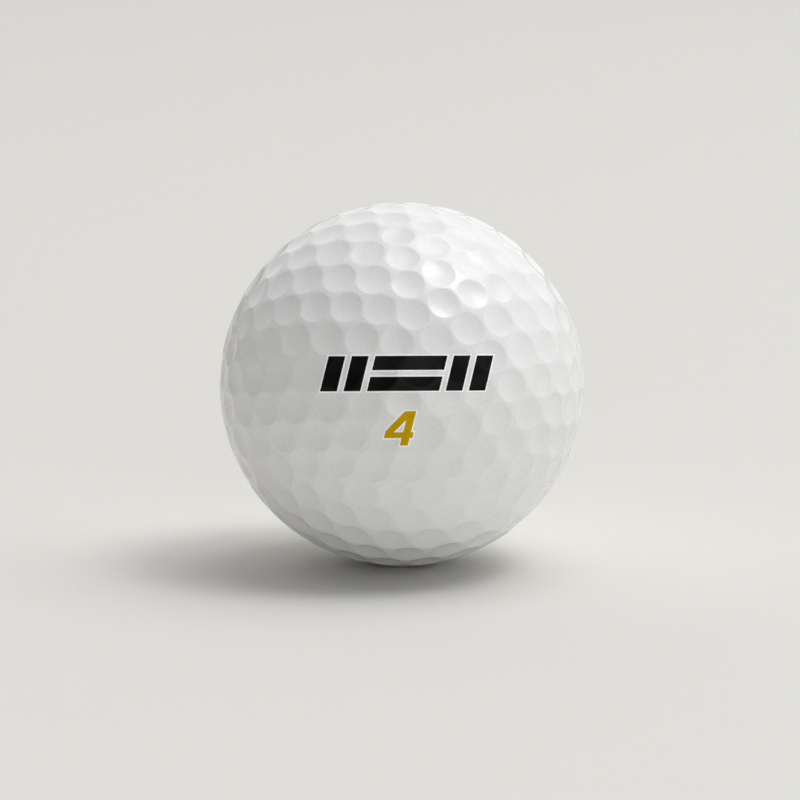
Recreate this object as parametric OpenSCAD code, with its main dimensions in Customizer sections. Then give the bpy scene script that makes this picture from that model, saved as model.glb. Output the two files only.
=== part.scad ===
// Golf ball: a rubber core, a dimpled cover moulded round it, and a pad-printed stamp.
// The origin is the ball's centre and +Z is up. The stamp faces along -Y, a little upwards.

/* [Ball] */
// Outside diameter, over the lands between the dimples
ball_d = 42.7; // [42.67:0.01:43.5]
// Diameter of the rubber core
core_d = 38.2; // [36:0.1:40]

/* [Dimples] */
// Dimple spacings along each edge of the icosahedron that carries the pattern
frequency = 6; // [5:1:7]
// Width of the land between two dimples on an edge
land_w = 0.12; // [0.08:0.01:0.3]
// Depth of a dimple below the plane of its rim
dimple_depth = 0.18; // [0.1:0.01:0.24]
// Size of the dimples inside a face, against those on an edge
face_ratio = 1.04; // [0.9:0.005:1.06]
// Size of the dimple at the middle of a face, against those on an edge
middle_ratio = 1.12; // [0.9:0.005:1.12]
// Turn of the pattern about X, in degrees
pattern_x = 26.4; // [-90:0.1:90]
// Turn of the pattern about Y, in degrees
pattern_y = -4.9; // [-90:0.1:90]
// Turn of the pattern about Z, in degrees
pattern_z = 5.4; // [-90:0.1:90]

/* [Stamp] */
// Height of the stamp's axis above the horizontal, in degrees
stamp_lift = 10; // [-30:1:30]
// Thickness of the printed ink
ink_t = 0.04; // [0.03:0.01:0.08]
// Width of the white border round the ink
keyline_w = 0.16; // [0.1:0.01:0.3]
// Lean of the bars and the digit, in degrees
lean = 14; // [0:1:20]
// Height of the alignment mark
mark_h = 4; // [2:0.1:4.5]
// Length of the long middle bars, along their foot
long_bar = 8.2; // [4:0.1:9]
// Length of a short bar, along its foot
short_bar = 1.9; // [1:0.1:2]
// Gap between neighbouring bars
bar_gap = 0.75; // [0.7:0.05:1]
// Height of the alignment mark's middle above the stamp's axis
mark_up = 1.2; // [0.8:0.05:3]
// Height of the play number
number_h = 3.9; // [3:0.1:4.5]
// Distance of the play number's middle below the stamp's axis
number_down = 5.05; // [4.9:0.05:7]
// Distance of the play number's middle to the left of the stamp's axis
number_left = 0.8; // [-3:0.1:3]

/* [Hidden] */
$fn = 72;
ball_r = ball_d / 2;
golden = (1 + sqrt(5)) / 2;
spacing = acos(1 / sqrt(5)) / frequency;
edge_half = spacing / 2 - asin(land_w / ball_d);
// A scoop is a little wider than its dimple's rim, and ends just above the ball
scoop_side = 0.02;
scoop_top = 0.06;
// Angle from the stamp's axis within which dimples shape the ink
stamp_reach = 44;
stamp_axis = [0, -cos(stamp_lift), sin(stamp_lift)];
slope = tan(lean);

function unit(p) = p / norm(p);
function about_x(p, a) = [p.x, p.y * cos(a) - p.z * sin(a), p.y * sin(a) + p.z * cos(a)];
function about_y(p, a) = [p.x * cos(a) + p.z * sin(a), p.y, p.z * cos(a) - p.x * sin(a)];
function about_z(p, a) = [p.x * cos(a) - p.y * sin(a), p.x * sin(a) + p.y * cos(a), p.z];
function turned(p) = about_z(about_y(about_x(p, pattern_x), pattern_y), pattern_z);

// The icosahedron's twelve corners on a ball of radius one
corners = [
    for (a = [-1, 1], b = [-golden, golden], p = [[0, a, b], [a, b, 0], [b, 0, a]])
        turned(unit(p))
];
function joined(i, j) = corners[i] * corners[j] > 0;

// Point shared between three corners, with a, b and the rest of the frequency as their weights
function shared(i, j, k, a, b) = unit(
    sin(a * spacing) * corners[i]
    + sin(b * spacing) * corners[j]
    + sin((frequency - a - b) * spacing) * corners[k]
);

// Each dimple is the direction of its centre and the angle from there to its rim
corner_dimples = [for (p = corners) [p, edge_half]];
edge_dimples = [
    for (i = [0:10], j = [i + 1:11])
        if (joined(i, j))
            for (a = [1:frequency - 1]) [shared(i, j, j, a, 0), edge_half]
];
face_dimples = [
    for (i = [0:9], j = [i + 1:10], k = [j + 1:11])
        if (joined(i, j) && joined(j, k) && joined(i, k))
            for (a = [1:frequency - 2], b = [1:frequency - 1 - a])
                [shared(i, j, k, a, b), edge_half * (3 * a == frequency && a == b ? middle_ratio : face_ratio)]
];
dimples = concat(corner_dimples, edge_dimples, face_dimples);
stamp_dimples = [for (d = dimples) if (d[0] * stamp_axis > cos(stamp_reach)) d];

// Lens that scoops one dimple out of a ball whose surface is raised by lift
module scoop(dimple, lift) {
    centre = dimple[0];
    rim_r = ball_r * sin(dimple[1]);
    rim_z = ball_r * cos(dimple[1]);
    bowl_r = (rim_r * rim_r + dimple_depth * dimple_depth) / (2 * dimple_depth);
    rotate([0, acos(centre.z), atan2(centre.y, centre.x)])
        translate([0, 0, rim_z - dimple_depth + lift])
            rotate_extrude()
                intersection() {
                    translate([0, bowl_r]) circle(bowl_r);
                    square([rim_r + scoop_side, dimple_depth + ball_r - rim_z + scoop_top]);
                }
}

// Ball with only the dimples that lie under the stamp, its surface raised by lift
module stamp_ground(lift) {
    difference() {
        sphere(ball_r + lift);
        for (d = stamp_dimples) scoop(d, lift);
    }
}

// Film of ink on the dimpled surface, with its children as its outline along the stamp's axis
module film() {
    difference() {
        intersection() {
            stamp_ground(ink_t);
            rotate([90 - stamp_lift, 0, 0]) linear_extrude(ball_d) children();
        }
        stamp_ground(0);
    }
}

// Unit normal on the right of the way from p to q, and an outline moved outwards by d
function side(p, q) = [q.y - p.y, p.x - q.x] / norm(q - p);
function outset(points, d) = [
    for (i = [0:len(points) - 1])
        let (
            before = points[(i + len(points) - 1) % len(points)],
            after = points[(i + 1) % len(points)],
            s = side(before, points[i]),
            t = side(points[i], after)
        )
        points[i] + d * (s + t) / (1 + s * t)
];
function leaning(points, up) = [for (p = points) [p.x + (p.y - up) * slope, p.y]];

// Border that the keyline leaves round an outline
module border(points) {
    difference() {
        polygon(outset(points, keyline_w));
        polygon(points);
    }
}

// A leaning bar between two feet x0 and x1 and two heights y0 and y1
function bar(x0, x1, y0, y1) = leaning([[x0, y0], [x1, y0], [x1, y1], [x0, y1]], mark_up);
half_h = mark_h / 2;
half_long = long_bar / 2;
long_bars = [
    for (s = [-1, 1])
        let (low = s < 0 ? -half_h : bar_gap / 2)
        bar(-half_long, half_long, mark_up + low, mark_up + low + half_h - bar_gap / 2)
];
short_bars = [
    for (s = [-1, 1], n = [0, 1])
        let (x = s * (half_long + bar_gap + short_bar / 2 + n * (short_bar + bar_gap)))
        bar(x - short_bar / 2, x + short_bar / 2, mark_up - half_h, mark_up + half_h)
];

// The digit 4 drawn in a box that runs from 0 to 1 across its height, then sized and leaned
stem = [0.52, 0.75];
arm = [0.22, 0.39];
digit_w = 0.83;
flag_x = 0.42;
flag_y = 0.43;
counter_x = 0.25;
counter_y = 0.74;
digit_outline = [
    [stem[0], 0], [stem[1], 0], [stem[1], arm[0]], [digit_w, arm[0]], [digit_w, arm[1]], [stem[1], arm[1]],
    [stem[1], 1], [flag_x, 1], [0, flag_y], [0, arm[0]], [stem[0], arm[0]]
];
digit_counter = [[counter_x, arm[1]], [stem[0], arm[1]], [stem[0], counter_y]];
function on_ball(points) = leaning(
    [for (p = points) [(p.x - digit_w / 2) * number_h - number_left, (p.y - 0.5) * number_h - number_down]],
    -number_down
);

module core() {
    color("#c9b27a") sphere(core_d / 2);
}

module cover() {
    color("#f2f2ef")
        difference() {
            // The sphere's own poles lie along X, away from the top and the bottom of the ball
            rotate([0, 90, 0]) sphere(ball_r);
            for (d = dimples) scoop(d, 0);
            sphere(core_d / 2);
        }
}

module mark_keyline() {
    color("#ffffff") film() for (b = concat(short_bars, long_bars)) border(b);
}

module mark() {
    color("#141414") film() for (b = concat(short_bars, long_bars)) polygon(b);
}

module number_keyline() {
    color("#ffffff")
        film() {
            border(on_ball(digit_outline));
            border(outset(on_ball(digit_counter), -keyline_w));
        }
}

module number() {
    color("#a88703")
        film()
            difference() {
                polygon(on_ball(digit_outline));
                polygon(on_ball(digit_counter));
            }
}

core();
cover();
mark_keyline();
mark();
number_keyline();
number();
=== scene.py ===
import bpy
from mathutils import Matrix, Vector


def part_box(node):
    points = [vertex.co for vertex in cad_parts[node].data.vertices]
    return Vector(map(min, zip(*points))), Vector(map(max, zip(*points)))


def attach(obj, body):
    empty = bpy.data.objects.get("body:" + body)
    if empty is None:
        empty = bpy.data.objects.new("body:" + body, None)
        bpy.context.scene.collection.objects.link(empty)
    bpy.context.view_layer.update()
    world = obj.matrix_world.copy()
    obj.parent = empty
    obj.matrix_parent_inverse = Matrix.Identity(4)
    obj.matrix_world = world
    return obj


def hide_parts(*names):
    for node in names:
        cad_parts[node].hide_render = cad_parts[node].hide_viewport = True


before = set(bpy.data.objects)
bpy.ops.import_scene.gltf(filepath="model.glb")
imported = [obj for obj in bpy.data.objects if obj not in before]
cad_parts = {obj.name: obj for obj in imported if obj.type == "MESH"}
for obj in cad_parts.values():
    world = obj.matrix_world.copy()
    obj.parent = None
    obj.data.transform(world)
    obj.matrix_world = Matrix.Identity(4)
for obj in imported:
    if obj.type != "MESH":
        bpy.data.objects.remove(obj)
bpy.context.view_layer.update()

import math

import bmesh
import bpy
import numpy as np
from mathutils import Euler, Vector

MM = 0.001


# ---- Core ----
# The middle of the ball is one solid ball of cured rubber, pressed in a heated mould and tumbled
# matt. The cover hides it. It keeps the CAD mesh and gets the mottled look of filled rubber.

class Value:
    """What a node gives out, so that shader maths is written as an expression on it."""

    def __init__(self, paint, socket):
        self.paint = paint
        self.socket = socket

    def maths(self, operation, first, second):
        return self.paint.node("Math", {"operation": operation}, {0: first, 1: second})

    def __add__(self, other):
        return self.maths("ADD", self, other)

    def __sub__(self, other):
        return self.maths("SUBTRACT", self, other)

    def __rsub__(self, other):
        return self.maths("SUBTRACT", other, self)

    def __mul__(self, other):
        return self.maths("MULTIPLY", self, other)

    __radd__ = __add__
    __rmul__ = __mul__


class Paint:
    """The nodes of a material, or of the room's light, and the method that adds them."""

    def __init__(self, owner, place="Object"):
        owner.use_nodes = True
        self.owner = owner
        self.tree = owner.node_tree
        self.place = self.node("TexCoord", output=place)

    def node(self, kind, settings=None, sockets=None, output=0):
        """One node of this kind, with its settings made first, then its sockets' values or links."""
        made = self.tree.nodes.new("ShaderNode" + kind)
        for name, setting in (settings or {}).items():
            setattr(made, name, setting)
        self.fill(made, sockets or {})
        return Value(self, made.outputs[output])

    def fill(self, made, sockets):
        """Gives each named socket of a node its value, or its link from another node."""
        for name, given in sockets.items():
            if isinstance(given, Value):
                self.tree.links.new(given.socket, made.inputs[name])
            else:
                made.inputs[name].default_value = given

    def noise(self, size, detail=2.0):
        """Noise from 0 to 1 whose lumps are about size metres across."""
        return self.node("TexNoise", sockets={"Vector": self.place, "Scale": 1 / size, "Detail": detail})

    def between(self, first, second, share):
        """The first colour where share is 0, and the second where it is 1."""
        # A Mix node has sockets of one name for each kind of value, so its colours go by number
        colours = {"Factor": share, 6: (*first, 1), 7: (*second, 1)}
        return self.node("Mix", {"data_type": "RGBA", "clamp_factor": True}, colours, output=2)

    def bumps(self, height, depth):
        """A surface normal for a relief of the given height, from 0 to 1, and depth in metres."""
        return self.node("Bump", sockets={"Height": height, "Distance": depth, "Strength": 1.0})

    def finish(self, sockets, shader="Principled BSDF"):
        """Fills the shader that ends the nodes."""
        self.fill(self.tree.nodes[shader], sockets)
        return self.owner


def rubber():
    """Cured rubber with its filler's mottle and the fine tooth that tumbling leaves."""
    paint = Paint(bpy.data.materials.new("core_rubber"))
    mottle = paint.noise(1.2 * MM, 4.0)
    return paint.finish({
        "Base Color": paint.between((0.42, 0.3, 0.12), (0.66, 0.52, 0.28), mottle),
        "Roughness": 0.6 + 0.2 * mottle,
        "Normal": paint.bumps(paint.noise(0.3 * MM), 0.02 * MM),
    })


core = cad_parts["core"]
core.data.materials.clear()
core.data.materials.append(rubber())
core_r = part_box("core")[1].z


# ---- Cover ----
# The cover is a white ionomer shell moulded round the core, with 362 dimples left by round bumps in
# the two mould cups. The parting line is buffed away, then the shell is painted and lacquered.

ball_r = max(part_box("cover")[1])
frequency = 6
land_w = 0.12 * MM
dimple_depth = 0.18 * MM
face_ratio = 1.04
middle_ratio = 1.12
pattern_turn = Euler(np.radians((26.4, -4.9, 5.4)), "XYZ")
# Paint rounds a dimple's rim over the stretch where the bare dimple is within this of the surface
rim_soft = 0.022 * MM
# Places of a dimple's rings between its middle (0) and its rim (1), then from there to its border
bowl_rings = (0.35, 0.62, 0.8, 0.9, 0.945, 0.975, 1.0)
land_rings = (0.3, 0.6, 1.0)
border_steps = 4
corner_count = 12
# Vertices closer than this become one where two surfaces meet
weld = 0.001 * MM
# Sizes of the paint's slow change of tint, its fine grain and its orange peel
tint_size = 9 * MM
grain_size = 0.16 * MM
peel_size = 0.7 * MM


def unit(points):
    """Each direction divided by its length."""
    return points / np.linalg.norm(points, axis=-1, keepdims=True)


def dimple_layout():
    """Directions of the dimples' middles, and the angles from there to their rims.

    An icosahedron's corners, edges and faces are each divided by the frequency. A point that has
    weights a, b and c on the corners P, Q and R of a face lies along sin(a s) P + sin(b s) Q +
    sin(c s) R, where s is the spacing, an edge's angle over the frequency.
    """
    golden = (1 + math.sqrt(5)) / 2
    corners = unit(np.array([
        p for a in (-1, 1) for b in (-golden, golden) for p in ((0, a, b), (a, b, 0), (b, 0, a))
    ]))
    corners = corners @ np.array(pattern_turn.to_matrix()).T
    joined = corners @ corners.T > 0
    edges = np.array([
        (i, j) for i in range(corner_count) for j in range(i + 1, corner_count) if joined[i, j]
    ])
    faces = np.array([
        (i, j, k) for i, j in edges for k in range(j + 1, corner_count) if joined[i, k] and joined[j, k]
    ])
    spacing = math.acos(1 / math.sqrt(5)) / frequency
    steps = np.arange(1, frequency)
    along = np.stack([steps, frequency - steps], -1)
    across = np.array([(a, b, frequency - a - b) for a in steps for b in steps if a + b < frequency])
    on_edges = np.einsum("wk,fkx->fwx", np.sin(along * spacing), corners[edges])
    on_faces = np.einsum("wk,fkx->fwx", np.sin(across * spacing), corners[faces])
    edge_rim = spacing / 2 - math.asin(land_w / 2 / ball_r)
    in_middle = np.ptp(across, axis=1) == 0
    face_rims = edge_rim * np.where(in_middle, middle_ratio, face_ratio)
    middles = np.concatenate([corners, on_edges.reshape(-1, 3), on_faces.reshape(-1, 3)])
    even_count = corner_count + on_edges[..., 0].size
    rims = np.concatenate([np.full(even_count, edge_rim), np.tile(face_rims, len(faces))])
    return unit(middles), rims


def drop(points, middles, rims):
    """How far the surface lies below the ball's at each of points (n, m, 3), from dimples (n, k, 3).

    A dimple is a ball-shaped bowl. Along a direction at the angle t from the dimple's middle the
    bowl lies at q cos t - sqrt(b^2 - q^2 sin^2 t), where b is the bowl's radius and q the distance
    of its centre. What is left below the surface, d, is eased by (d + w)^2 / 4w where |d| < w, and
    the dimples' shares are added.
    """
    half_w = ball_r * np.sin(rims)
    bowl_r = (half_w ** 2 + dimple_depth ** 2) / (2 * dimple_depth)
    centre = ball_r * np.cos(rims) - dimple_depth + bowl_r
    cosine = np.einsum("nmx,nkx->nmk", points, middles)
    inside = bowl_r[:, None] ** 2 - centre[:, None] ** 2 * (1 - cosine ** 2)
    bare = ball_r - centre[:, None] * cosine + np.sqrt(np.maximum(inside, 0))
    bare = np.where((inside > 0) & (cosine > 0), bare, -1)
    eased = (bare + rim_soft) ** 2 / (4 * rim_soft)
    return np.where(bare > rim_soft, bare, np.where(bare > -rim_soft, eased, 0)).sum(-1)


def cell_points(middles, around):
    """Directions (n, steps, 3) round the borders of the cells that belong to n dimples.

    around holds each dimple's neighbours. They are put in order round it, a cell's corner is the
    direction at one angle from the dimple and two neighbours that follow each other, and each side
    of the cell is divided into equal steps.
    """
    first = around[:, :1] - (around[:, :1] @ middles[..., None]) * middles[:, None]
    second = np.cross(middles[:, None], first)
    turn = np.arctan2((around * second).sum(-1), (around * first).sum(-1))
    around = np.take_along_axis(around, np.argsort(turn, axis=1)[..., None], axis=1)
    reach = around - middles[:, None]
    corners = unit(np.cross(reach, np.roll(reach, -1, axis=1)))
    share = np.arange(border_steps)[:, None] / border_steps
    sides = (1 - share) * corners[:, :, None] + share * np.roll(corners, -1, axis=1)[:, :, None]
    return unit(sides.reshape(len(middles), -1, 3))


def cell_surface(middles, rims, near, near_rims):
    """Points of the outside of n dimples' cells, and directions round the cells' borders.

    Each cell has its middle and then rings. A ring is at an angle from the middle that is a share of
    the rim's angle, or lies between the rim's and the border's, and the drop lowers every point.
    """
    border = cell_points(middles, near)
    to_border = np.arccos((border * middles[:, None]).sum(-1))
    heading = unit(border - (border * middles[:, None]).sum(-1, keepdims=True) * middles[:, None])
    bowl = np.array(bowl_rings)[:, None] * rims[:, None, None]
    land = np.array(land_rings)[:, None]
    land = rims[:, None, None] * (1 - land) + to_border[:, None] * land
    bowl = np.broadcast_to(bowl, (*bowl.shape[:2], border.shape[1]))
    angle = np.concatenate([bowl, land], axis=1)[..., None]
    rings = np.cos(angle) * middles[:, None, None] + np.sin(angle) * heading[:, None]
    points = np.concatenate([middles[:, None], rings.reshape(len(middles), -1, 3)], axis=1)
    dimples = np.concatenate([middles[:, None], near], axis=1)
    depth = drop(points, dimples, np.concatenate([rims[:, None], near_rims], axis=1))
    return points * (ball_r - depth)[..., None], border


def ring_faces(cells, rings, steps):
    """Faces of cells that have one middle vertex each and then rings of steps vertices.

    A fan of triangles joins the middle to the first ring, and quads join each ring to the next.
    """
    start = np.arange(cells)[:, None] * (1 + rings * steps)
    here = np.arange(steps)
    after = np.roll(here, -1)
    fan = np.stack([start + 0 * here, start + 1 + here, start + 1 + after], -1).reshape(-1, 3)
    ring = start[..., None] + 1 + steps * np.arange(rings - 1)[:, None]
    quads = np.stack([ring + here, ring + steps + here, ring + steps + after, ring + after], -1)
    return [fan, quads.reshape(-1, 4)]


def mesh_piece(name, vertices, faces, join_within):
    """A smooth mesh object from arrays of faces, with vertices closer than join_within made one."""
    mesh = bpy.data.meshes.new(name)
    mesh.from_pydata(vertices, [], [corners for block in faces for corners in block.tolist()])
    sewn = bmesh.new()
    sewn.from_mesh(mesh)
    bmesh.ops.remove_doubles(sewn, verts=sewn.verts, dist=join_within)
    sewn.to_mesh(mesh)
    sewn.free()
    mesh.shade_smooth()
    piece = bpy.data.objects.new(name, mesh)
    bpy.context.collection.objects.link(piece)
    return piece


def cover_shell():
    """The dimpled outside and the plain inside of the cover, as one closed mesh."""
    middles, rims = dimple_layout()
    nearest = np.argsort(-(middles @ middles.T), axis=1)
    vertices = []
    faces = []
    made = 0
    # The icosahedron's own corners have five neighbours, and every other dimple has six
    for first, last, sides in ((0, corner_count, 5), (corner_count, len(middles), 6)):
        group = slice(first, last)
        near = nearest[group, 1:sides + 1]
        outside, border = cell_surface(middles[group], rims[group], middles[near], rims[near])
        inside = np.concatenate([middles[group, None], border], axis=1) * core_r
        for surface, rings, way in ((outside, len(bowl_rings) + len(land_rings), 1), (inside, 1, -1)):
            blocks = ring_faces(last - first, rings, sides * border_steps)
            vertices.append(surface.reshape(-1, 3))
            faces += [block[:, ::way] + made for block in blocks]
            made += len(vertices[-1])
    return mesh_piece("cover_shell", np.concatenate(vertices), faces, weld)


def lacquered_white():
    """White paint with a fine grain and a slight orange peel, under a thin clear lacquer."""
    paint = Paint(bpy.data.materials.new("cover_white"))
    tint = paint.noise(tint_size, 3.0)
    grain = paint.noise(grain_size, 3.0)
    peel = paint.noise(peel_size, 1.0)
    # The grain's noise keeps near its middle, so it is widened before it moves the colour
    mottle = 0.2 * tint + 1.6 * grain - 0.4
    return paint.finish({
        "Base Color": paint.between((0.785, 0.791, 0.797), (0.93, 0.937, 0.944), mottle),
        "Roughness": 0.12 + 0.08 * grain,
        "Normal": paint.bumps(grain * 0.6 + peel * 0.4, 0.018 * MM),
        "Specular IOR Level": 0.3,
        "Subsurface Weight": 0.08,
        "Subsurface Radius": (1.0, 0.9, 0.8),
        "Subsurface Scale": 0.6 * MM,
        "Coat Weight": 0.1,
        "Coat Roughness": 0.08,
    })


cover = cover_shell()
cover.data.materials.append(lacquered_white())
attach(cover, "root")
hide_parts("cover")


# ---- Alignment mark ----
# The mark is black ink from a soft pad that dips into the dimples, under the lacquer. It is four
# leaning short bars and two long ones between them, each with a thin border of white ink.

stamp_lift = math.radians(10)
right = np.array([1.0, 0.0, 0.0])
up = np.array([0.0, math.sin(stamp_lift), math.cos(stamp_lift)])
out = np.array([0.0, -math.cos(stamp_lift), math.sin(stamp_lift)])
ink_t = 0.03 * MM
ink_step = 0.11 * MM
# The film's thickness against its top's height above the cover: its underside is inside the cover
film_depth = 1.5
settle_rounds = 4
keyline_w = 0.16 * MM
slope = math.tan(math.radians(14))
mark_h = 4.0 * MM
mark_up = 1.2 * MM
long_bar = 8.2 * MM
short_bar = 1.9 * MM
bar_gap = 0.75 * MM


def on_ball(flat):
    """Points (m, 2) of the stamp's plane carried back along its axis to the top of the ink.

    The ball's surface is at R - drop from the centre, so the height along the axis is the root of
    that, with the ink's thickness added, squared, less x^2 + y^2. A few rounds settle the drop.
    """
    middles, rims = dimple_layout()
    from_axis = (flat ** 2).sum(-1)
    height = np.sqrt(ball_r ** 2 - from_axis)
    for _ in range(settle_rounds):
        points = flat[:, :1] * right + flat[:, 1:] * up + height[:, None] * out
        depth = drop(unit(points)[None], middles[None], rims[None])[0]
        height = np.sqrt((ball_r - depth + ink_t) ** 2 - from_axis)
    return points


def quad_grid(corners):
    """Points (m, 2) and faces of a grid on a flat quad, each place a blend of the four corners."""
    low, low_right, top_right, top = corners
    width = max(np.linalg.norm(low_right - low), np.linalg.norm(top_right - top))
    height = max(np.linalg.norm(top - low), np.linalg.norm(top_right - low_right))
    across = max(2, math.ceil(width / ink_step))
    along = max(2, math.ceil(height / ink_step))
    u = np.linspace(0, 1, across + 1)[:, None]
    v = np.linspace(0, 1, along + 1)[:, None, None]
    points = (1 - v) * ((1 - u) * low + u * low_right) + v * ((1 - u) * top + u * top_right)
    index = np.arange((across + 1) * (along + 1)).reshape(along + 1, across + 1)
    faces = np.stack([index[:-1, :-1], index[:-1, 1:], index[1:, 1:], index[1:, :-1]], -1).reshape(-1, 4)
    return points.reshape(-1, 2), faces


def ink_film(name, quads, paint, node):
    """A film of ink over flat quads that share whole sides, with its thickness below its top."""
    flat = []
    faces = []
    made = 0
    for corners in quads:
        points, grid = quad_grid(np.asarray(corners))
        flat.append(points)
        faces.append(grid + made)
        made += len(points)
    film = mesh_piece(name, on_ball(np.concatenate(flat)), faces, weld)
    thick = film.modifiers.new("thickness", "SOLIDIFY")
    thick.thickness = film_depth * ink_t
    thick.offset = -1
    film.data.materials.append(paint)
    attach(film, "root")
    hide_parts(node)


def side(p, q):
    """The unit normal on the right of the way from p to q."""
    way = unit(q - p)
    return np.array([way[1], -way[0]])


def outset(points, distance):
    """An outline moved outwards, with its corners kept sharp."""
    moved = []
    for before, here, after in zip(np.roll(points, 1, axis=0), points, np.roll(points, -1, axis=0)):
        s = side(before, here)
        t = side(here, after)
        moved.append(here + distance * (s + t) / (1 + s @ t))
    return np.array(moved)


def border(points, distance):
    """The quads of the border that runs round an outline."""
    outer = outset(points, distance)
    return list(zip(points, outer, np.roll(outer, -1, axis=0), np.roll(points, -1, axis=0)))


def leaning(points, foot):
    """Points moved to the right by the slope times their height above the foot."""
    points = np.array(points, float)
    return points + np.stack([(points[:, 1] - foot) * slope, 0 * points[:, 1]], -1)


def bar(x0, x1, y0, y1):
    """The corners of a bar between two heights, with its x measured at the mark's middle height."""
    return leaning([(x0, y0), (x1, y0), (x1, y1), (x0, y1)], mark_up)


def mark_bars():
    """Two long bars, one above the other, and two short bars at each side of them."""
    half = mark_h / 2
    reach = long_bar / 2
    feet = (mark_up - half, mark_up + bar_gap / 2)
    bars = [bar(-reach, reach, foot, foot + half - bar_gap / 2) for foot in feet]
    for s in (-1, 1):
        for n in (0, 1):
            x = s * (reach + bar_gap + short_bar / 2 + n * (short_bar + bar_gap))
            bars.append(bar(x - short_bar / 2, x + short_bar / 2, mark_up - half, mark_up + half))
    return bars


def ink(name, pale, deep, shine, painted_glow=0.0):
    """Printed ink: a little thinner, so paler, where the pad left less, with the lacquer's grain, and a
    fixed painted glow when one is given.
    """
    paint = Paint(bpy.data.materials.new(name))
    grain = paint.noise(grain_size, 3.0)
    cloud = paint.noise(1.5 * MM, 3.0)
    return paint.finish({
        "Base Color": paint.between(deep, pale, cloud),
        "Roughness": 0.36 + 0.12 * grain,
        "Normal": paint.bumps(grain, 0.004 * MM),
        "Specular IOR Level": shine,
        # Painted light: a fixed glow that stays the same whatever the lamps do
        "Emission Color": (1.0, 1.0, 1.0, 1.0),
        "Emission Strength": painted_glow,
    })


black_ink = ink("ink_black", (0.002, 0.002, 0.002), (0.001, 0.001, 0.001), 0.15)
# The white ink is given a fixed glow of its own. This is painted light, standing in for the ink's
# brightener, and it makes the ink brighter than the lamps alone would
white_ink = ink("ink_white", (0.96, 0.96, 0.96), (0.93, 0.93, 0.93), 0.5, painted_glow=0.11)
bars = mark_bars()
ink_film("mark_ink", bars, black_ink, "mark")
mark_borders = [quad for outline in bars for quad in border(outline, keyline_w)]
ink_film("mark_border", mark_borders, white_ink, "mark_keyline")


# ---- Play number ----
# The play number is a second pad print, in gold ink, below the mark. The digit leans as the bars
# do, and has the same thin white border outside it and inside its counter.

gold_ink = ink("ink_gold", (0.66, 0.41, 0.0), (0.6, 0.37, 0.0), 0.03)
number_h = 3.9 * MM
number_down = 5.05 * MM
number_left = 0.8 * MM
digit_w = 0.83
# Places in a box one unit high, from the left edge and the foot
foot_left, foot_right = 0.52, 0.75
arm_low, arm_high = 0.22, 0.39
flag_x, flag_y = 0.42, 0.43
counter_x, counter_y = 0.25, 0.74


def in_stamp(points):
    """Places in the digit's box carried to the stamp's plane, and leaned about the digit's middle."""
    points = np.array(points, float)
    points = (points - (digit_w / 2, 0.5)) * number_h - (number_left, number_down)
    return leaning(points, -number_down)


def digit_quads():
    """The digit 4 cut into quads: its foot, arm, stem, top and the stroke that leans to the top."""
    tip = (0, flag_y)
    peak = (flag_x, 1)
    notch = (counter_x, arm_high)
    fork = (foot_left, counter_y)
    columns = (0, counter_x, foot_left, foot_right, digit_w)
    arm = [
        [(a, arm_low), (b, arm_low), (b, arm_high), (a, arm_high)] for a, b in zip(columns, columns[1:])
    ]
    arm[0][3] = tip
    return [in_stamp(quad) for quad in arm + [
        [(foot_left, 0), (foot_right, 0), (foot_right, arm_low), (foot_left, arm_low)],
        [(foot_left, arm_high), (foot_right, arm_high), (foot_right, counter_y), fork],
        [fork, (foot_right, counter_y), (foot_right, 1), peak],
        [tip, notch, fork, peak],
    ]]


digit_outline = in_stamp([
    (foot_left, 0), (foot_right, 0), (foot_right, arm_low), (digit_w, arm_low), (digit_w, arm_high),
    (foot_right, arm_high), (foot_right, 1), (flag_x, 1), (0, flag_y), (0, arm_low), (foot_left, arm_low),
])
digit_counter = in_stamp([(counter_x, arm_high), (foot_left, arm_high), (foot_left, counter_y)])
ink_film("number_ink", digit_quads(), gold_ink, "number")
number_borders = border(digit_outline, keyline_w) + border(digit_counter, -keyline_w)
ink_film("number_border", number_borders, white_ink, "number_keyline")


# ---- Table and backdrop ----
# The ball stands on a round sheet of pale, warm grey card. It runs flat for more than two metres
# and then curves up all round, so that no edge shows and the horizon is soft.

def sweep():
    """A surface of revolution: flat to one radius, then a quarter circle, then a plain wall."""
    flat_rings = np.array((0.02, 0.3, 1.0))
    flat_r = 2.4
    curve_r = 0.35
    wall_h = 0.02
    bend_steps = 16
    turn_steps = 96
    bend = np.linspace(0, math.pi / 2, bend_steps + 1)
    turn = np.linspace(0, 2 * math.pi, turn_steps, endpoint=False)
    radius = np.concatenate([flat_rings, flat_r + curve_r * np.sin(bend), [flat_r + curve_r]])
    rise = np.concatenate([0 * flat_rings, curve_r * (1 - np.cos(bend)), [curve_r + wall_h]])
    across = radius[:, None]
    height = rise[:, None] - ball_r
    rings = np.stack([across * np.cos(turn), across * np.sin(turn), height + 0 * turn], -1)
    points = np.concatenate([[[0, 0, -ball_r]], rings.reshape(-1, 3)])
    return mesh_piece("sweep", points, ring_faces(1, len(radius), turn_steps), weld)


def card():
    """Matt card with faint clouds and a fine fibre."""
    paint = Paint(bpy.data.materials.new("card"))
    cloud = paint.noise(0.4, 2.0)
    fibre = paint.noise(1.5 * MM, 3.0)
    return paint.finish({
        "Base Color": paint.between((0.73, 0.723, 0.694), (0.75, 0.743, 0.714), cloud),
        "Roughness": 0.8 + 0.1 * fibre,
        "Normal": paint.bumps(fibre, 0.02 * MM),
        "Specular IOR Level": 0.2,
    })


table = sweep()
table.data.materials.append(card())


# ---- Light ----
# A wide soft box hangs over the ball, a little to the right, so the shadow falls to the left. A small
# one beside it gives the bright patches in the dimples, and three weaker ones and the room fill in.

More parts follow.
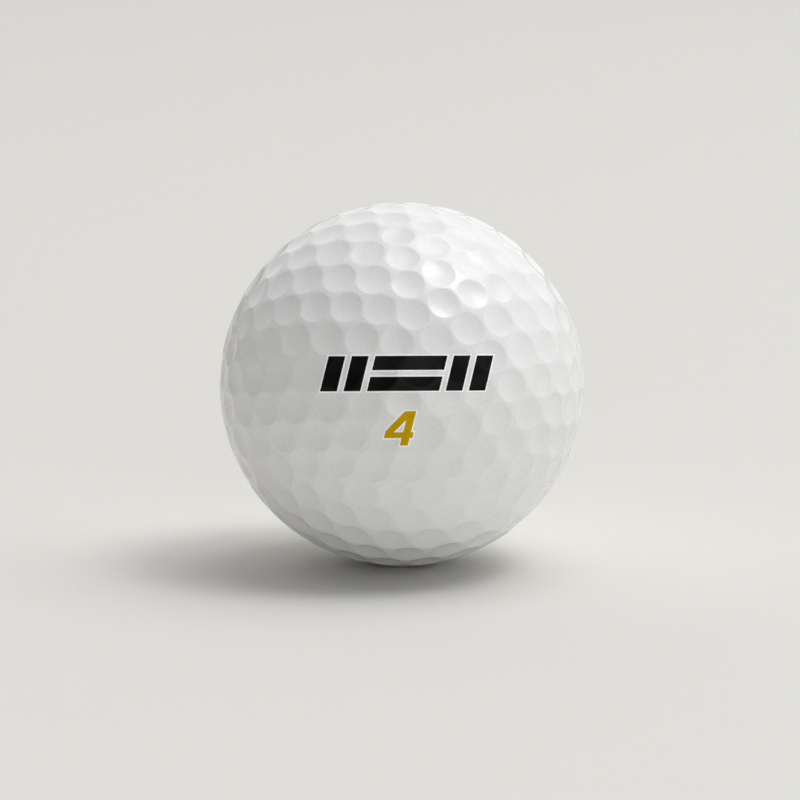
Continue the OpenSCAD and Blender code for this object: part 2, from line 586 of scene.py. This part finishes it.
def soft_box(name, direction, distance, size, power):
    """A round soft box that lies in one direction from the ball and faces it."""
    lamp = bpy.data.lights.new(name, "AREA")
    lamp.shape = "DISK"
    lamp.size = size
    lamp.energy = power
    box = bpy.data.objects.new(name, lamp)
    box.location = Vector(direction).normalized() * distance
    box.rotation_euler = box.location.to_track_quat("Z", "Y").to_euler()
    bpy.context.collection.objects.link(box)


soft_box("overhead", (0.36, 0.1, 0.9), 2.6, 2.6, 40.0)
soft_box("key", (0.42, -0.06, 0.9), 2.6, 0.9, 12.0)
soft_box("top left", (-0.3, 0.0, 0.95), 2.6, 2.0, 8.0)
soft_box("right", (0.9, -0.1, 0.3), 2.4, 1.6, 6.5)
soft_box("front", (0.2, -1.0, 0.12), 2.2, 1.6, 12.5)


def room():
    """A room that is brightest behind the ball: its strength follows the direction's Y, above a floor."""
    brightest = 1.07
    darkest = 0.02
    paint = Paint(bpy.data.worlds.new("room"), "Generated")
    sockets = {0: paint.place, 1: (0.0, brightest, 0.0)}
    behind = paint.node("VectorMath", {"operation": "DOT_PRODUCT"}, sockets, output="Value")
    return paint.finish({
        "Color": (1.0, 0.985, 0.96, 1.0),
        "Strength": behind.maths("MAXIMUM", behind, darkest),
    }, "Background")


bpy.context.scene.world = room()
bpy.context.scene.view_settings.view_transform = "Standard"


# ---- Camera ----
# A long lens looks slightly down at the stamp, from a little to the left of it. The ball stands
# just above the middle of the picture.

azimuth = math.radians(-1.7)
elevation = math.radians(10)
distance = 30 * ball_r
above_middle = 1.85 * MM
right_of_middle = 0.22 * MM

lens = bpy.data.cameras.new("camera")
lens.lens = 245.5
lens.clip_start = 0.05
camera = bpy.data.objects.new("camera", lens)
bpy.context.collection.objects.link(camera)
back = Vector((
    math.sin(azimuth) * math.cos(elevation),
    -math.cos(azimuth) * math.cos(elevation),
    math.sin(elevation),
))
aim = Vector((-right_of_middle, 0, -above_middle))
camera.location = aim + back * distance
camera.rotation_euler = back.to_track_quat("Z", "Y").to_euler()
bpy.context.scene.camera = camera
